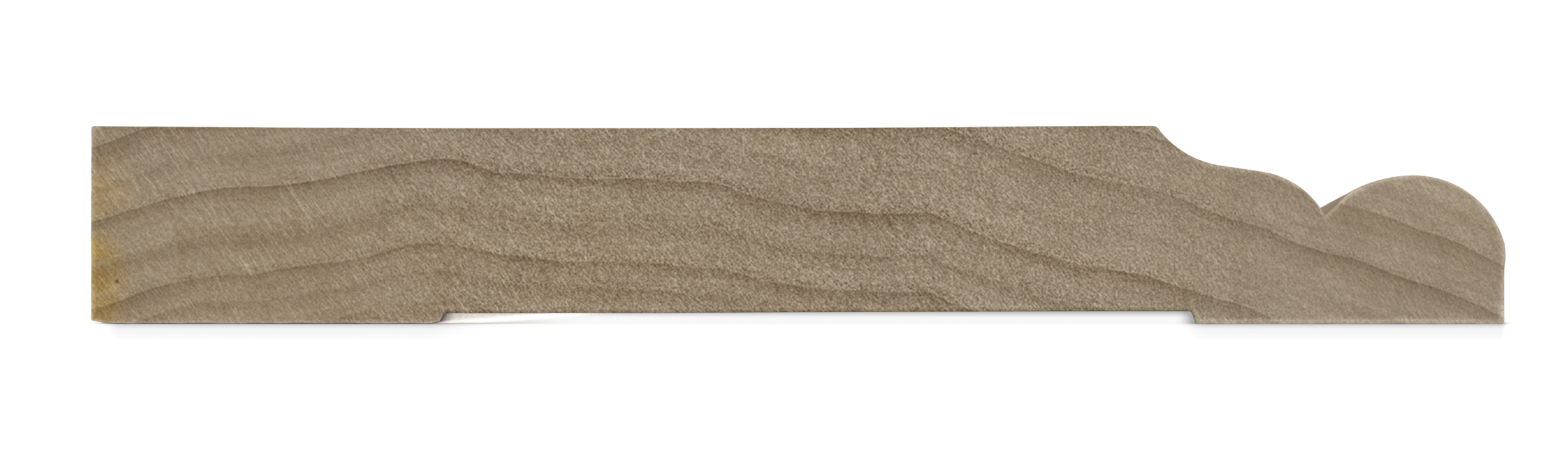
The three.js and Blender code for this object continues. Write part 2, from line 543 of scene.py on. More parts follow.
def ring_depth(x, y, z):
    """How far a place lies below the drawn ring, in millimetres, which says how old it is.

    The ring's wave is read at a place that leans across with the length. Depths from it are
    scaled near the floor edge and past the middle, and lifted by a long low hump, so that
    rings break through the flat face as pointed arches.
    """
    share = (y - NEAR_END) / LENGTH
    places, heights = np.array(RING_WAVE).T
    lean = RING_LEAN * share * np.sin(math.pi * RING_LEAN_TURN * share)
    hump = RING_LIFT * np.sin(math.pi * np.minimum(share / RING_LIFT_END, 1)) ** 2
    wander = np.sin(RING_WANDER_TURN * share + x / RING_WANDER_WIDTH)
    depth = hermite(np.clip(x + lean, places[0], places[-1]), places, heights) - z
    near_edge = smooth(-x, *CROWDING_SPAN)
    depth *= 1 + near_edge * np.where(depth < 0, YOUNG_CROWDING, -OLD_SPREADING)
    bulge = bell(x, 1, BULGE_PLACE, BULGE_WIDTH)
    depth *= 1 + bulge * np.where(depth < 0, -YOUNG_BULGE, OLD_BULGE)
    return depth + hump + (RING_DRIFT + RING_WANDER * wander) * share


# The board's mesh

SAW_CENTRE = (-181.0, -70.0)
# Fine and broad marks: their pitch, their steps to a radian, their share and their seed
SAW_SETS = [(1.7, 12, 0.6, 3), (9.0, 5, 0.4, 4)]
# The sawn arris turns in this many rows of faces, which look sawn as the end does
ARRIS_ROWS = 4
SHARP_ANGLE = math.radians(50)


def saw_depth(x, z):
    """Depth of the saw's marks in an end: arcs about the saw's centre, uneven in depth.

    The unevenness is smooth noise over the distance from the centre and the angle round it.
    """
    radius = np.hypot(x - SAW_CENTRE[0], z - SAW_CENTRE[1])
    angle = np.arctan2(z - SAW_CENTRE[1], x - SAW_CENTRE[0])
    uneven = sum(
        share * lattice_noise(radius / pitch, angle * steps, seed)
        for pitch, steps, share, seed in SAW_SETS
    )
    return SAW_RELIEF * (1 + uneven)


def outward(points):
    """Outward normals of a closed outline that runs anticlockwise."""
    tangent = np.roll(points, -1, axis=0) - np.roll(points, 1, axis=0)
    tangent /= np.hypot(*tangent.T)[:, None]
    return np.stack([tangent[:, 1], -tangent[:, 0]], axis=1)


def row_distances():
    """Distances of the mesh rows from the nearer end, beyond the sawn arris."""
    steps = FINEST_ROW * ROW_GROWTH ** np.arange(20)
    steps = steps[steps < ROW_STEP]
    near = SAWN_ARRIS_RADIUS * 2 + np.cumsum(steps)
    middle = np.arange(near[-1] + ROW_STEP, LENGTH / 2, ROW_STEP)
    return np.concatenate([near, middle])


def cap(ring, columns, rows):
    """The places inside a closed outline, as a grid of columns and rows.

    Each is the blend of the two outline points beside it across, plus the blend of the two
    above and below it, less the blend of the four corners.
    """
    back = ring[:columns + 1]
    top_side = ring[columns:columns + rows + 1]
    front = ring[columns + rows:2 * columns + rows + 1][::-1]
    floor_side = np.concatenate([ring[2 * columns + rows:], ring[:1]])[::-1]
    u = np.linspace(0, 1, columns + 1)[1:-1, None, None]
    v = graded(rows)[None, 1:-1, None]
    up = (1 - v) * back[1:-1, None] + v * front[1:-1, None]
    across = (1 - u) * floor_side[None, 1:-1] + u * top_side[None, 1:-1]
    low = (1 - u) * back[0] + u * back[-1]
    high = (1 - u) * front[0] + u * front[-1]
    return up + across - (1 - v) * low - v * high


def cap_faces(ring_index, inner_index, columns, rows):
    """The four-sided faces of a cap's grid, whose border is the outline's own points."""
    grid = np.empty((columns + 1, rows + 1), int)
    grid[:, 0] = ring_index[:columns + 1]
    grid[-1, :] = ring_index[columns:columns + rows + 1]
    grid[:, -1] = ring_index[columns + rows:2 * columns + rows + 1][::-1]
    grid[0, :] = np.append(ring_index[2 * columns + rows:], ring_index[0])[::-1]
    grid[1:-1, 1:-1] = inner_index.reshape(columns - 1, rows - 1)
    corners = (grid[:-1, :-1], grid[1:, :-1], grid[1:, 1:], grid[:-1, 1:])
    return np.stack(corners, axis=-1).reshape(-1, 4)


# Painted light and shade near the rim of an end, as tones, and how far they reach
RIM_PAINTED_LIGHT = 24.0
RIM_DULL = 8.0
RIM_REACH = 0.24
# Above the narrow foot and above the relief: the tone, height and width of a thin pale line of
# painted light
FOOT_PAINTED_LINE = (27.0, 0.24, 0.15)
RELIEF_PAINTED_LINE = (9.0, 0.4, 0.15)
# The arris below it has painted light under the feet and painted shade over the relief, in the
# same terms
FOOT_ARRIS_PAINTED_LIGHT = (26.0, 0.0, 0.09)
RELIEF_ARRIS_PAINTED_SHADE = (-18.0, 0.0, 0.13)
# A spot of painted shade in the torn corner: its tone, its distance beyond the foot and its width
TORN_CORNER_PAINTED_SHADE = (-38.0, 0.75, 0.3)
TORN_CORNER_SHADE_REACH = 0.1
# The rim's painted light is stronger on the quirk's flank: by what share, how far from the top
# edge, how wide
QUIRK_PAINTED_LIGHT = (0.6, 15.5, 2.5)
# The painted lines end between these heights over the feet
PAINTED_LINE_TOP = (1.5, 2.1)
# The rim's painted light ends between these distances from the top edge and from the floor edge
MOULDED_RIM = (28.0, 34.0)
FLOOR_RIM = (0.4, 1.2)
# Within the first of these distances from the top edge the rim's painted light runs on down in
# place of the painted lines
TOP_RIM = (0.4, 0.8)


def painted_edge_light_and_shade(x, z, distance):
    """Painted light and shade near the rim of an end, as a tone.

    Pale painted light round the mouldings, strongest on the quirk's flank, and along the two
    edges, where an arris would catch light, and the rim of the flat face a little darker: a
    bell over the distance from the outline. Above the relief and the narrow foot runs a thin
    pale line of painted light, a bell about its own height, and the arris below it has painted
    light under the feet and painted shade over the relief. The torn corner of the wide foot
    has a spot of painted shade.
    """
    from_top, from_floor = TOP_EDGE - x, x - FLOOR_EDGE
    under = 1 - smooth(z, *PAINTED_LINE_TOP)
    floor_side = 1 - smooth(from_floor, *FLOOR_RIM)
    pale = np.maximum(1 - smooth(from_top, *MOULDED_RIM), floor_side)
    # Painted light on the rim round the mouldings and along the edges, a little darker elsewhere
    rim = RIM_PAINTED_LIGHT * pale - RIM_DULL * (1 - pale)
    rim *= (1 + bell(from_top, *QUIRK_PAINTED_LIGHT)) * bell(distance, 1, 0, RIM_REACH)

    # Thin pale lines of painted light over the feet and the relief
    beyond_foot = from_floor - FLOOR_FOOT_WIDTH
    narrow = 1 - smooth(from_top, TOP_FOOT_WIDTH, TOP_FOOT_WIDTH + 0.4)
    relief = smooth(beyond_foot, -0.2, 0.8) - narrow
    burr = narrow * bell(distance, *FOOT_PAINTED_LINE) + relief * bell(distance, *RELIEF_PAINTED_LINE)
    # Painted light or shade on the arris, and painted shade in the torn corner
    burr += relief * bell(distance, *RELIEF_ARRIS_PAINTED_SHADE) + (1 - relief) * bell(distance, *FOOT_ARRIS_PAINTED_LIGHT)
    burr += bell(beyond_foot, *TORN_CORNER_PAINTED_SHADE) * bell(distance, 1, 0, TORN_CORNER_SHADE_REACH)
    sides = np.maximum(floor_side, 1 - smooth(from_top, *TOP_RIM))
    return rim * np.maximum(1 - under, sides) + burr * under


def worn_rows(ring):
    """The section carried along the length: rows of points round it, from end to end.

    Every row is the section with a little taken off: the sawn arris is a quarter circle of
    uneven radius at each end, frayed close to the near end, and long low waves from the
    planer run along the faces. Nothing is added to the section, or goes below the floor.
    """
    girth = np.concatenate([[0], np.cumsum(np.hypot(*np.diff(ring, axis=0).T))])
    uneven = 1 + SAWN_ARRIS_UNEVEN * lattice_noise(girth / SAWN_ARRIS_PITCH, girth * 0, 11)
    radius = SAWN_ARRIS_RADIUS * uneven
    turn = np.radians(np.linspace(0, 90, ARRIS_ROWS + 1))[:, None]
    body = row_distances()
    around = len(ring)
    run = np.concatenate([radius * (1 - np.cos(turn)), np.tile(body[:, None], around)])
    cut = np.concatenate([radius * (1 - np.sin(turn)), np.zeros((len(body), around))])
    fray = FRAY_DEPTH * (0.5 + 0.5 * lattice_noise(girth / FRAY_PITCH, girth * 0, 12))
    frayed = cut + fray * np.exp(-run / FRAY_REACH)
    run += saw_depth(*ring.T) * np.exp(-run / SAW_RELIEF_REACH)
    y = np.concatenate([NEAR_END + run, FAR_END - run[::-1]])
    cut = np.concatenate([frayed, cut[::-1]])
    across = np.broadcast_to(girth / PLANE_WAVE_ACROSS, y.shape)
    waves = lattice_noise(across, (y - NEAR_END) / PLANE_WAVE_ALONG, 13)
    cut += PLANE_WAVE * (0.5 + 0.5 * waves)

    normal = outward(ring)
    x = ring[:, 0] - normal[:, 0] * cut
    z = np.maximum(ring[:, 1] - normal[:, 1] * cut, 0)
    return np.stack([x, y, z], axis=-1)


def sawn_cap(row, level, inward, columns, rows):
    """The points inside an end's outline, sunk into the end by the depth of the saw's marks."""
    inner = cap(row[:, [0, 2]], columns, rows).reshape(-1, 2)
    depth = saw_depth(*inner.T)
    return np.stack([inner[:, 0], level + inward * depth, inner[:, 1]], axis=1)


def make_board():
    """The rows along the board joined by four-sided faces, with a closed grid on each end.

    Its points keep their depth among the rings, and the painted light and shade near
    the rim of an end.
    """
    back, top_side, front, floor_side = section()
    columns, rows = len(back) - 1, len(top_side) - 1
    ring = np.concatenate([back[:-1], top_side[:-1], front[:0:-1], floor_side[:0:-1]])
    around = len(ring)
    shell = worn_rows(ring)
    near_cap = sawn_cap(shell[0], NEAR_END, 1, columns, rows)
    far_cap = sawn_cap(shell[-1], FAR_END, -1, columns, rows)
    places = np.concatenate([shell.reshape(-1, 3), near_cap, far_cap])

    index = np.arange(len(shell) * around).reshape(len(shell), around)
    beside = np.roll(index, -1, axis=1)
    sides = np.stack([index[:-1], index[1:], beside[1:], beside[:-1]], axis=-1).reshape(-1, 4)
    near_inner = np.arange(index.size, index.size + len(near_cap))
    far_inner = near_inner + len(near_cap)
    near_faces = cap_faces(index[0], near_inner, columns, rows)
    far_faces = cap_faces(index[-1], far_inner, columns, rows)[:, ::-1]
    faces = np.concatenate([sides, near_faces, far_faces])

    from_end = np.minimum(places[:, 1] - NEAR_END, FAR_END - places[:, 1])
    distance = np.maximum(from_end - 2 * SAWN_ARRIS_RADIUS, 0)
    rim = shell[0][:, [0, 2]]
    for group in (near_inner, far_inner):
        gaps = places[group][:, None, [0, 2]] - rim[None]
        distance[group] = np.hypot(gaps[..., 0], gaps[..., 1]).min(axis=1)

    mesh = bpy.data.meshes.new("board")
    mesh.from_pydata(places * MM, [], faces)
    mesh.update()
    give(mesh, "ring_depth", ring_depth(*places.T))
    # Each point keeps the painted light and shade near the rim
    give(mesh, "painted_edge_light_and_shade", painted_edge_light_and_shade(places[:, 0], places[:, 2], distance))
    on_end = np.zeros(len(faces), np.int32)
    on_end[len(sides):] = 1
    on_end[:around * ARRIS_ROWS] = 1
    on_end[len(sides) - around * ARRIS_ROWS:len(sides)] = 1
    rings, sapwood = growth_rings(), sapwood_stain()
    mesh.materials.append(planed_timber(rings, sapwood))
    mesh.materials.append(sawn_end_grain(rings, sapwood))
    mesh.polygons.foreach_set("material_index", on_end)
    mesh.polygons.foreach_set("use_smooth", np.ones(len(faces), bool))
    mesh.set_sharp_from_angle(angle=SHARP_ANGLE)

    board = bpy.data.objects.new("board", mesh)
    bpy.context.scene.collection.objects.link(board)
    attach(board, "root")
    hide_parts(NODE)


def give(mesh, name, values):
    """Keeps one number for each point of a mesh, for its materials to read."""
    attribute = mesh.attributes.new(name, "FLOAT", "POINT")
    attribute.data.foreach_set("value", values.astype(np.float32))


# Timber

# Tones are counted in screen steps of 1/255 about the timber's mean colour
END_GRAIN = (150.3, 134.8, 114.3)
END_GRAIN_OCHRE = (160.0, 131.0, 72.0)
PLANED_FACE = (174.0, 154.0, 126.0)
PLANED_FACE_OCHRE = (194.0, 164.0, 106.0)
# How much of a tone's step goes on red, green and blue: dark wood is a little warmer
TONE_STEPS = np.array([0.94, 1.0, 1.06])
TONE_SPAN = 90.0
TONE_STOPS = 7


def tone_ramp(tree, tone, mean):
    """Turns a tone into a colour: the mean colour with nearly the same step on each channel."""
    share = plus(times(tone, 0.5 / TONE_SPAN), 0.5)
    ramp = add(tree, "ShaderNodeValToRGB", {0: share})
    stops = ramp.color_ramp.elements
    for i in range(1, TONE_STOPS - 1):
        stops.new(i / (TONE_STOPS - 1))
    for i, stop in enumerate(stops):
        step = (2 * i / (TONE_STOPS - 1) - 1) * TONE_SPAN
        stop.color = linear(*(mean + step * TONE_STEPS))
    return ramp.outputs[0]


def timber_colour(name, clean, stained):
    """Group: a tone and a stain become the timber's colour."""
    inputs = {"Tone": NUMBER, "Stain": NUMBER}
    group, given, result = make_group(name, inputs, "Colour", put_out=COLOUR)
    plain, yellow = (tone_ramp(group, given["Tone"], mean) for mean in (clean, stained))
    mix = add(
        group, "ShaderNodeMix", {0: given["Stain"], 6: plain, 7: yellow}, data_type="RGBA"
    )
    feed(group, result["Colour"], mix.outputs[2])
    return group


def board_place(tree):
    """The place on the board in millimetres."""
    where = add(tree, "ShaderNodeTexCoord").outputs["Object"]
    node = add(tree, "ShaderNodeVectorMath", {0: where, "Scale": 1 / MM}, operation="SCALE")
    return node.outputs[0]


def attribute(tree, name):
    return add(tree, "ShaderNodeAttribute", attribute_name=name).outputs["Fac"]


# Each ring's dark line: its depth below the drawn ring, its tone, how far it fades towards
# the older wood, and how soft its young side is. All but the tone are in millimetres.
RING_LINES = {
    "over the bead": (-16.5, -9.0, 1.5, 0.5),
    "bead": (-13.75, -27.0, 3.2, 0.15),
    "ogee": (-8.6, -34.0, 1.5, 0.14),
    "faint": (-3.95, -12.0, 1.5, 0.6),
    "drawn": (-0.2, -40.0, 1.0, 0.13),
    "soft": (3.3, -9.0, 1.2, 0.5),
    "below the soft one": (4.25, -17.0, 0.8, 0.4),
    "back": (7.85, -33.0, 0.9, 0.16),
    "below the back": (10.4, -16.0, 0.8, 0.22),
    "foot": (13.3, -14.0, 1.1, 0.3),
}
# Towards the floor edge, between these places, two of them get a broader dark band as well
EDGE_BANDS_START = (-25.0, -52.0)
EDGE_BANDS = [(-7.6, -8.0, 0.9, 0.4), (4.8, -11.0, 0.9, 0.4)]
RING_MEAN_TONE = 7.2
# How far the rings sway, how fuzzy their lines are, and how patchy their strength is
RING_SWAY = 1.1
RING_FUZZ = 0.15
RING_PATCHES = 1.2
LATEWOOD_LINE = 0.2
LATEWOOD_SHARE = 0.47
LATEWOOD_FLAT = 0.5
LAYER_TONE = 22.0
# Pores crowd this far above a line, in a bell of this width, fully above a line this dark
PORE_BAND = (0.45, 0.4)
PORE_FULL_TONE = -30.0


def ring_line():
    """Group: one ring's dark line, sharp on its young side and fading on the old one.

    Below the line's place the tone is the sum of two exponentials of the depth: a thin dark
    line, and a broad band that stays even for a little before it dies away. About the place
    an eased step brings the tone up from nought. Open pores crowd in a narrow bell just
    above the line.
    """
    inputs = dict.fromkeys(("Depth", "Place", "Tone", "Fade", "Edge"), NUMBER)
    group, given, result = make_group("ring_line", inputs, "Tone", "Pores")
    below = maths("SUBTRACT", given["Depth"], given["Place"])
    under = maths("MAXIMUM", below, 0.0)
    past_flat = maths("MAXIMUM", maths("SUBTRACT", below, LATEWOOD_FLAT), 0.0)
    band = maths("EXPONENT", times(maths("DIVIDE", past_flat, given["Fade"]), -1.0))
    line = maths("EXPONENT", times(under, -1.0 / LATEWOOD_LINE))
    fading = plus(times(band, 1 - LATEWOOD_SHARE), times(line, LATEWOOD_SHARE))
    onset = ease(maths("DIVIDE", below, given["Edge"]), -1.0, 0.6)
    feed(group, result["Tone"], times(given["Tone"], times(fading, onset)))
    off = maths("DIVIDE", plus(below, PORE_BAND[0]), PORE_BAND[1])
    crowd = maths("EXPONENT", times(times(off, off), -1.0))
    share = times(given["Tone"], 1 / PORE_FULL_TONE)
    feed(group, result["Pores"], times(crowd, share))
    return group


def line_at(tree, line, depth, place, tone, fade, edge):
    """One line at its own place, with its own tone, fade and softness."""
    return use(
        tree, line, {"Depth": depth, "Place": place, "Tone": tone, "Fade": fade, "Edge": edge}
    )


def growth_rings():
    """Group: the tone of all the rings at a depth, uneven along each ring.

    Faint layers of the same year lie between the lines: noise that changes with the depth
    and hardly at all along the ring.
    """
    inputs = {"Depth": NUMBER, "Place": PLACE}
    group, given, result = make_group("growth_rings", inputs, "Tone", "Pores")
    drawn_out = stretch(given["Place"], y=0.06)
    sway = times(noise(drawn_out, 0.13, 1.0), RING_SWAY)
    fuzz = times(noise(drawn_out, 3.6, 1.0), RING_FUZZ)
    depth = plus(given["Depth"], sway, fuzz)
    line = ring_line()
    total = 0.0
    pores = 0.0
    for place, tone, fade, edge in RING_LINES.values():
        ring = line_at(group, line, depth, place, tone, fade, edge)
        total = plus(ring["Tone"], total)
        pores = plus(ring["Pores"], pores)
    feed(group, result["Pores"], pores)
    x, y, z = axes(given["Place"])
    near_edge = ease(x, *EDGE_BANDS_START)
    for place, tone, fade, edge in EDGE_BANDS:
        band = line_at(group, line, depth, place, times(near_edge, tone), fade, edge)
        total = plus(band["Tone"], total)
    patchy = plus(times(noise(drawn_out, 0.09, 1.0), RING_PATCHES), 1.0)
    flat = {0: times(x, 0.05), 1: times(y, 0.01), 2: depth}
    flat = add(group, "ShaderNodeCombineXYZ", flat).outputs[0]
    layers = times(noise(flat, 1.7, 2.0, 0.6), LAYER_TONE)
    tone = plus(times(total, patchy), layers, RING_MEAN_TONE)
    feed(group, result["Tone"], tone)
    return group


# Sapwood shows yellow along the floor edge: height, half height, reach into the board
# and strength of each streak, as it meets the near end
SAPWOOD_STREAKS = [
    (13.0, 3.4, 4.4, 0.42),
    (11.2, 1.7, 2.2, 0.5),
    (7.0, 2.1, 2.9, 1.0),
    (4.3, 2.9, 3.9, 0.8),
    (1.2, 2.8, 4.0, 0.7),
]
# A streak's border fades between these shares of its half ellipse
SAPWOOD_BORDER = (1.25, 0.15)


def sapwood_stain():
    """Group: how strong the yellow of the sapwood is.

    Each streak is half an ellipse on the floor edge, drawn out along the board, and noise
    frays its border.
    """
    group, given, result = make_group("sapwood_stain", {"Place": PLACE}, "Stain")
    x, y, z = axes(given["Place"])
    inward = maths("SUBTRACT", x, FLOOR_EDGE)
    drawn_out = stretch(given["Place"], y=0.03)
    fray = plus(times(noise(drawn_out, 0.35, 1.0), 0.8), times(noise(drawn_out, 1.6, 2.0), 0.25))
    total = 0.0
    for height, half, reach, strength in SAPWOOD_STREAKS:
        up = maths("DIVIDE", maths("SUBTRACT", z, height), half)
        across = maths("DIVIDE", inward, reach)
        away = plus(length(up, across), fray)
        streak = ease(away, *SAPWOOD_BORDER, 0.0, strength)
        total = maths("MAXIMUM", total, streak)
    feed(group, result["Stain"], total)
    return group


# Turns of the straight hairs and of the felt's strokes, in degrees
HAIR_SLOPE = -53.0
FELT_SLOPE = -47.0
# The tones of the saw's marks and of the cut wood, and the shares of the felt's parts
SAW_TONES = {"broad": 5.0, "fine": 9.0, "crossing": 8.0, "hairs": 14.0}
FELT_SHARES = {"stroke": 0.8, "weave": 0.4, "grit": 1.0}
END_TONES = {"felt": 81.0, "clouds": 16.0, "pits": -27.0, "paler": 5.0}
# How coarse the felt is at the floor edge, mid-board and at the top edge
COARSENESS = (0.5, 1.0, 0.46)


def saw_marks():
    """Group: the scratches that the saw left in an end, most of them arcs about its centre.

    The place is turned to a distance from the centre and a length round it, and noise drawn
    out along the arc gives broad strokes and fine pale hairs. Flatter straight hairs cross
    them. Both come and go in patches, and show most towards the floor edge.
    """
    group, given, result = make_group("saw_marks", {"Place": PLACE}, "Tone", "Height")
    x, y, z = axes(given["Place"])
    across = maths("SUBTRACT", x, SAW_CENTRE[0])
    up = maths("SUBTRACT", z, SAW_CENTRE[1])
    radius = length(across, up)
    angle = maths("ARCTAN2", up, across)
    arc_place = {0: radius, 1: times(angle, 150.0), 2: y}
    arc_place = add(group, "ShaderNodeCombineXYZ", arc_place).outputs[0]
    broad = noise(stretch(arc_place, 1.0, 0.12), 1.5, 2.0)
    fine = noise(stretch(arc_place, 1.0, 0.06), 8.0, 0.0)
    hairs = ease(fine, 0.12, 0.25)
    crossing = turned(given["Place"], HAIR_SLOPE)
    crossing = noise(stretch(crossing, x=0.07), 8.0, 0.0)
    more_hairs = ease(crossing, 0.1, 0.21)
    patches = ease(noise(given["Place"], 0.16, 2.0), -0.12, 0.14, 0.25, 1.0)
    patches = times(patches, ease(x, 0.0, -40.0, 0.4, 1.0))
    hairs = times(plus(hairs, more_hairs), patches)
    tone = mixed(SAW_TONES, broad=broad, fine=fine, crossing=crossing, hairs=hairs)
    feed(group, result["Tone"], tone)
    feed(group, result["Height"], plus(times(fine, 0.6), broad))
    return group


def cut_fibres():
    """Group: the felt of cut fibres on an end, finely woven and coarser mid-board.

    Two crossing sets of short strokes, the falling one stronger, with fine grit over them,
    and dark pits that stand out where the wood is coarse and above each ring's line. The
    wood is a little paler towards the moulded edge.
    """
    inputs = {"Place": PLACE, "Pores": NUMBER}
    group, given, result = make_group("cut_fibres", inputs, "Tone", "Height")
    x = axes(given["Place"])[0]
    falling = stretch(turned(given["Place"], FELT_SLOPE), x=0.18)
    rising = turned(given["Place"], -FELT_SLOPE)
    rising = stretch(rising, x=0.45, shift=(9.0, 0.0, 4.0))
    stroke = noise(falling, 8.6, 0.0)
    weave = noise(rising, 8.4, 0.0)
    grit = noise(given["Place"], 4.5, 0.0)
    clouds = noise(given["Place"], 0.22, 2.0, 0.5)
    at_floor, at_middle, at_top = COARSENESS
    coarse = ease(x, -54.0, -20.0, at_floor, at_middle)
    coarse = times(coarse, ease(x, 24.0, 54.0, at_middle, at_top))
    pits = noise(given["Place"], 4.2, 0.0)
    pits = ease(plus(pits, times(given["Pores"], -0.16)), -0.2, -0.29)
    felt = mixed(FELT_SHARES, stroke=stroke, weave=weave, grit=grit)
    tone = mixed(
        END_TONES, felt=times(felt, coarse), clouds=clouds,
        pits=times(pits, coarse), paler=ease(x, -5.0, 25.0),
    )
    feed(group, result["Tone"], tone)
    feed(group, result["Height"], felt)
    return group


FACE_TONES = {"fibre": 38.0, "streak": 26.0, "cloud": 26.0, "pores": -22.0}


def long_fibres():
    """Group: the fibres and open pores along a planed face, drawn out along the board."""
    group, given, result = make_group("long_fibres", {"Place": PLACE}, "Tone", "Height")
    fibre = noise(stretch(given["Place"], y=0.035), 2.6, 3.0, 0.6)
    streak = noise(stretch(given["Place"], y=0.012), 0.42, 2.0, 0.55)
    cloud = noise(stretch(given["Place"], y=0.22), 0.07, 2.0, 0.5)
    pore = noise(stretch(given["Place"], y=0.09), 5.5, 0.0)
    pores = ease(pore, -0.2, -0.32)
    tone = mixed(FACE_TONES, fibre=fibre, streak=streak, cloud=cloud, pores=pores)
    feed(group, result["Tone"], tone)
    feed(group, result["Height"], maths("SUBTRACT", times(fibre, 0.6), pores))
    return group


# How far the board moves on between one knife's cut and the next
KNIFE_PITCH = 1.6


def planer_ripple():
    """Group: the shallow ripple across the board that turning planer knives leave."""
    group, given, result = make_group("planer_ripple", {"Place": PLACE}, "Height")
    y = axes(given["Place"])[1]
    drift = times(noise(given["Place"], 0.02, 1.0), 2.0)
    turn = plus(times(y, 2 * math.pi / KNIFE_PITCH), drift)
    ripple = maths("SINE", turn)
    uneven = plus(times(noise(given["Place"], 0.05, 2.0), 2.0), 0.8)
    feed(group, result["Height"], times(ripple, uneven))
    return group


BUMP_DISTANCE = 0.0001


def timber_shader(tree, colour, roughness, height, bump, specular):
    """The surface: colour, roughness and relief go to one shader."""
    inputs = {"Height": height, "Strength": bump, "Distance": BUMP_DISTANCE}
    relief = add(tree, "ShaderNodeBump", inputs)
    surface = add(
        tree, "ShaderNodeBsdfPrincipled",
        {"Base Color": colour, "Roughness": roughness, "Normal": relief.outputs[0]},
    )
    surface.inputs["Specular IOR Level"].default_value = specular
    add(tree, "ShaderNodeOutputMaterial", {"Surface": surface.outputs[0]})


def new_material(name):
    material = bpy.data.materials.new(name)
    material.use_nodes = True
    material.node_tree.nodes.clear()
    return material, material.node_tree


# A dark hole near the floor edge, which a pin would make
PIN_HOLE = (-65.3, 0.0, 4.05)
PIN_HOLE_RADIUS = 0.16
PIN_HOLE_TONE = -55.0
# The yellow that lies all over an end, and how much it changes in broad and small clouds
YELLOWING = 0.09
YELLOW_CLOUDS = {"broad": 0.1, "small": 0.16}


def pin_hole(tree, x, z):
    """A soft-edged disc at the pin hole's place."""
    spot = add(tree, "ShaderNodeCombineXYZ", {0: x, 2: z}).outputs[0]
    gap = add(tree, "ShaderNodeVectorMath", {0: spot, 1: PIN_HOLE}, operation="DISTANCE")
    return ease(gap.outputs["Value"], PIN_HOLE_RADIUS * 1.6, PIN_HOLE_RADIUS * 0.6)


def end_yellowing(place, x, z):
    """A faint yellow in soft clouds, more of it low on the floor edge's side.

    Low down towards the moulded edge it gives way to grey.
    """
    more = times(ease(x, 12.0, -20.0), ease(z, 15.0, 8.0, 0.0, 0.06))
    less = times(ease(x, 14.0, 34.0), ease(z, 5.0, 1.0, 0.0, -0.06))
    broad, small = noise(place, 0.07, 1.0), noise(place, 0.5, 2.0)
    clouds = mixed(YELLOW_CLOUDS, broad=broad, small=small)
    return maths("MAXIMUM", plus(more, less, clouds, YELLOWING), 0.0)


def sawn_end_grain(rings, sapwood):
    """The sawn ends: rings, the felt of cut fibres, saw scratches, sapwood, and painted light and
    shade round the rim.
    """
    material, tree = new_material("sawn_end_grain")
    place = board_place(tree)
    ring = use(tree, rings, {"Depth": attribute(tree, "ring_depth"), "Place": place})
    saw = use(tree, saw_marks(), {"Place": place})
    felt = use(tree, cut_fibres(), {"Place": place, "Pores": ring["Pores"]})
    stain = use(tree, sapwood, {"Place": place})
    x, y, z = axes(place)
    hole = pin_hole(tree, x, z)
    dark = times(hole, PIN_HOLE_TONE)
    # The rim's tone is painted light and shade
    tone = plus(ring["Tone"], saw["Tone"], felt["Tone"], attribute(tree, "painted_edge_light_and_shade"), dark)
    stained = plus(stain["Stain"], end_yellowing(place, x, z))
    colours = timber_colour("end_grain_colour", END_GRAIN, END_GRAIN_OCHRE)
    colour = use(tree, colours, {"Tone": tone, "Stain": stained})["Colour"]
    roughness = plus(0.84, times(felt["Height"], 0.5))
    height = plus(felt["Height"], times(saw["Height"], 0.8), times(hole, -2.0))
    timber_shader(tree, colour, roughness, height, bump=0.28, specular=0.25)
    return material


def planed_timber(rings, sapwood):
    """The planed faces: the same rings, fibres and pores along them, and planer ripple."""
    material, tree = new_material("planed_timber")
    place = board_place(tree)
    ring = use(tree, rings, {"Depth": attribute(tree, "ring_depth"), "Place": place})
    fibres = use(tree, long_fibres(), {"Place": place})
    ripple = use(tree, planer_ripple(), {"Place": place})
    stain = use(tree, sapwood, {"Place": place})
    tone = plus(times(ring["Tone"], 0.85), fibres["Tone"])
    colours = timber_colour("planed_colour", PLANED_FACE, PLANED_FACE_OCHRE)
    colour = use(tree, colours, {"Tone": tone, "Stain": stain["Stain"]})["Colour"]
    roughness = plus(0.72, times(fibres["Height"], -0.12))
    height = plus(fibres["Height"], times(ripple["Height"], 0.16))
    timber_shader(tree, colour, roughness, height, bump=0.45, specular=0.2)
    return material


# Floor, light and world

FLOOR_HALF = 30.0
FLOOR_WHITE = 0.86
# How strongly the world lights things, and how bright the camera sees it
WORLD_LIGHT = 0.35
WORLD_SEEN = 1.02
WHITE = (1.0, 1.0, 1.0, 1.0)
# Beside the board the floor's painted light is stronger by this much, and past the floor edge it
# comes in this softly
PAINTED_SIDE_LIGHT = 0.12
SIDE_SOFTNESS = 3.0
# In front of the feet the floor's painted light comes up in three steps, which paints a soft
# shadow: start, end and glow
PAINTED_SHADOW_STEPS = [(20.0, 65.0, 0.17), (60.0, 150.0, 0.12), (180.0, 460.0, 0.13)]
# The painted light on the floor under the relief, at its brightest and deep inside, and where it
# sinks
PAINTED_SLOT_LIGHT = (0.93, 0.45)
SLOT_SINKS = (150.0, 470.0)
# Beside the wide foot it is this share as strong, a painted shade: how far across, and how far
# along
FOOT_SIDE_GLOW = 0.55
FOOT_SIDE_ACROSS = (2.0, 14.0)
FOOT_SIDE_ALONG = (100.0, 230.0)
# The lit line beside the wide foot: how far across from the foot's corner, and how far along
LINE_COLOUR = (0.66, 0.78, 1.0, 1.0)
LINE_ACROSS = (-1.1, 3.2)
LINE_SPAN = (0.5, 420.0)
# Its light comes up in steps and sinks a little further in: start, end and strength
LINE_STEPS = [(-3.0, 12.0, 1.1), (6.0, 36.0, 1.8), (35.0, 80.0, 0.2), (110.0, 300.0, -0.3)]


def plane(name, left, right, near, far, height):
    """A flat four-sided mesh that faces up."""
    corners = [(left, near), (right, near), (right, far), (left, far)]
    mesh = bpy.data.meshes.new(name)
    mesh.from_pydata([(x, y, height) for x, y in corners], [], [(0, 1, 2, 3)])
    piece = bpy.data.objects.new(name, mesh)
    bpy.context.scene.collection.objects.link(piece)
    return piece


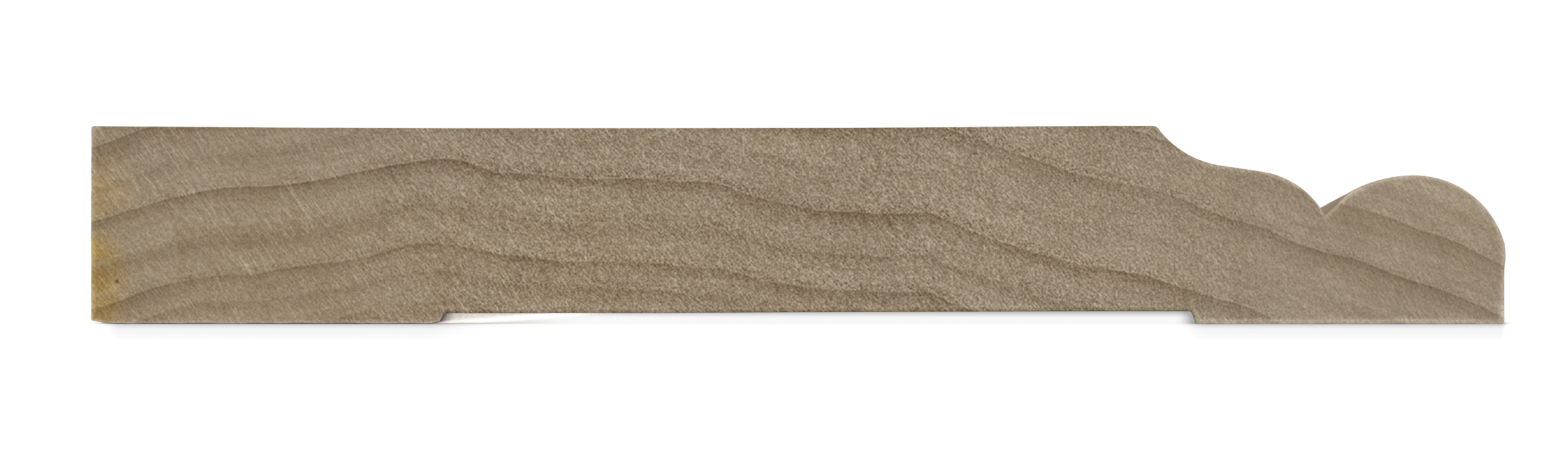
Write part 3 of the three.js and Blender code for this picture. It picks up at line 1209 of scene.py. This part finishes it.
def painted_floor_light(tree):
    """How much light the floor shows to the camera alone: painted light, which lights nothing.

    It is bright all round the board and in the slot under the shallow relief, a painted
    light, but comes up only little by little in front of the two feet, which paints a soft
    shadow there. Deep in the slot, and beside the wide foot, it is weaker, a painted shade.
    The borders run towards the camera, so that they stand upright in the picture.
    """
    x, y, z = axes(board_place(tree))
    away = plus(y, CAMERA_DISTANCE - NEAR_END)
    across = maths("SUBTRACT", x, CAMERA_ACROSS)
    seen_at = plus(times(maths("DIVIDE", across, away), CAMERA_DISTANCE), CAMERA_ACROSS)
    left = FLOOR_EDGE + FLOOR_FOOT_WIDTH
    right = TOP_EDGE - TOP_FOOT_WIDTH
    opening = ease(seen_at, left - 1.0, left + 2.0, 0.0, 0.4)
    opening = plus(opening, ease(seen_at, left, left + 7.0, 0.0, 0.6))
    relief = times(opening, ease(seen_at, right + 0.9, right - 2.0))
    bright, deep = PAINTED_SLOT_LIGHT
    sinks, sunk = SLOT_SINKS
    slot = ease(y, NEAR_END + sunk, NEAR_END + sinks, deep, bright)
    slot = times(slot, ease(y, NEAR_END - 1.0, NEAR_END + 1.0))
    off_foot = ease(seen_at, *(left + step for step in FOOT_SIDE_ACROSS), FOOT_SIDE_GLOW, 1.0)
    inside = ease(y, *(NEAR_END + step for step in FOOT_SIDE_ALONG), FOOT_SIDE_GLOW, 1.0)
    slot = times(slot, maths("MAXIMUM", off_foot, inside))
    board = ease(seen_at, FLOOR_EDGE, FLOOR_EDGE + SIDE_SOFTNESS)
    board = times(board, ease(seen_at, TOP_EDGE + 0.5, TOP_EDGE - 0.5))
    feet = maths("SUBTRACT", board, relief)
    feet = times(feet, ease(y, NEAR_END + 60.0, NEAR_END + 30.0))
    # The painted shadow in front of the feet
    shade = 0.0
    for start, end, glow in PAINTED_SHADOW_STEPS:
        shade = plus(ease(y, NEAR_END - start, NEAR_END - end, glow, 0.0), shade)
    full = sum(glow for start, end, glow in PAINTED_SHADOW_STEPS)
    beside = times(maths("SUBTRACT", 1.0, board), PAINTED_SIDE_LIGHT)
    around = plus(maths("SUBTRACT", full, times(feet, shade)), beside)
    # Painted light on the floor under the relief
    under = times(relief, slot)
    seen = add(tree, "ShaderNodeLightPath").outputs["Is Camera Ray"]
    return times(maths("MAXIMUM", around, under), seen)


def choose_shader(tree, chooser, first, second, output):
    """Shows the first shader where the chooser is nought, and the second where it is one."""
    shaders = {0: chooser, 1: first.outputs[0], 2: second.outputs[0]}
    mix = add(tree, "ShaderNodeMixShader", shaders)
    add(tree, output, {"Surface": mix.outputs[0]})


def finish_one_sided(tree, surface):
    """Puts the surface on the upper side only, and leaves it clear from below."""
    clear = add(tree, "ShaderNodeBsdfTransparent")
    below = add(tree, "ShaderNodeNewGeometry").outputs["Backfacing"]
    choose_shader(tree, below, surface, clear, "ShaderNodeOutputMaterial")


def make_floor():
    """A white floor in the plane of the feet, with a painted shadow and painted light that only
    the camera sees, clear when it is seen from below.
    """
    floor = plane("floor", -FLOOR_HALF, FLOOR_HALF, -FLOOR_HALF, FLOOR_HALF, 0.0)
    material, tree = new_material("white_floor")
    surface = add(
        tree, "ShaderNodeBsdfPrincipled",
        {"Base Color": (FLOOR_WHITE, FLOOR_WHITE, FLOOR_WHITE, 1.0), "Roughness": 0.9,
         "Emission Color": WHITE, "Emission Strength": painted_floor_light(tree)},
    )
    surface.inputs["Specular IOR Level"].default_value = 0.0
    finish_one_sided(tree, surface)
    floor.data.materials.append(material)


def make_lit_line():
    """A narrow lit line on the floor beside the wide foot, which the camera doesn't see.

    It makes the foot's low wall as white as the slot, all but its first part, where it fades
    to a soft shade. Its light is cool, to make up for the wood's warmth. It shines up only.
    """
    corner = FLOOR_EDGE + FLOOR_FOOT_WIDTH
    left, right = ((corner + distance) * MM for distance in LINE_ACROSS)
    near, far = ((NEAR_END + distance) * MM for distance in LINE_SPAN)
    line = plane("lit_line", left, right, near, far, 0.02 * MM)
    line.visible_camera = False
    material, tree = new_material("lit_line")
    y = axes(board_place(tree))[1]
    rise = 0.0
    for start, end, glow in LINE_STEPS:
        rise = plus(ease(y, NEAR_END + start, NEAR_END + end, 0.0, glow), rise)
    light = add(tree, "ShaderNodeEmission", {"Color": LINE_COLOUR, "Strength": rise})
    finish_one_sided(tree, light)
    line.data.materials.append(material)


def white_studio():
    """A white world that lights from all round, and is plain white to the camera."""
    world = bpy.data.worlds.new("studio")
    bpy.context.scene.world = world
    world.use_nodes = True
    tree = world.node_tree
    tree.nodes.clear()
    light = add(tree, "ShaderNodeBackground", {"Color": WHITE, "Strength": WORLD_LIGHT})
    seen = add(tree, "ShaderNodeBackground", {"Color": WHITE, "Strength": WORLD_SEEN})
    by_camera = add(tree, "ShaderNodeLightPath").outputs["Is Camera Ray"]
    choose_shader(tree, by_camera, light, seen, "ShaderNodeOutputWorld")
    bpy.context.scene.view_settings.view_transform = "Standard"


# Strength, direction the light comes from (turn from +X towards +Y, and height), spread
LAMPS = {
    "behind": (0.6, 120.0, 25.0, 50.0),
    "front": (1.72, -84.0, 32.0, 35.0),
}


def make_lamps():
    """Broad soft lights: a strong one nearly straight in front, a weak one behind."""
    for name, (strength, turn, height, spread) in LAMPS.items():
        lamp = bpy.data.lights.new(name, "SUN")
        lamp.energy = strength
        lamp.angle = math.radians(spread)
        holder = bpy.data.objects.new(name, lamp)
        holder.rotation_euler = (0, math.radians(90 - height), math.radians(turn))
        bpy.context.scene.collection.objects.link(holder)


make_camera()
white_studio()
make_lamps()
make_floor()
make_lit_line()
make_board()
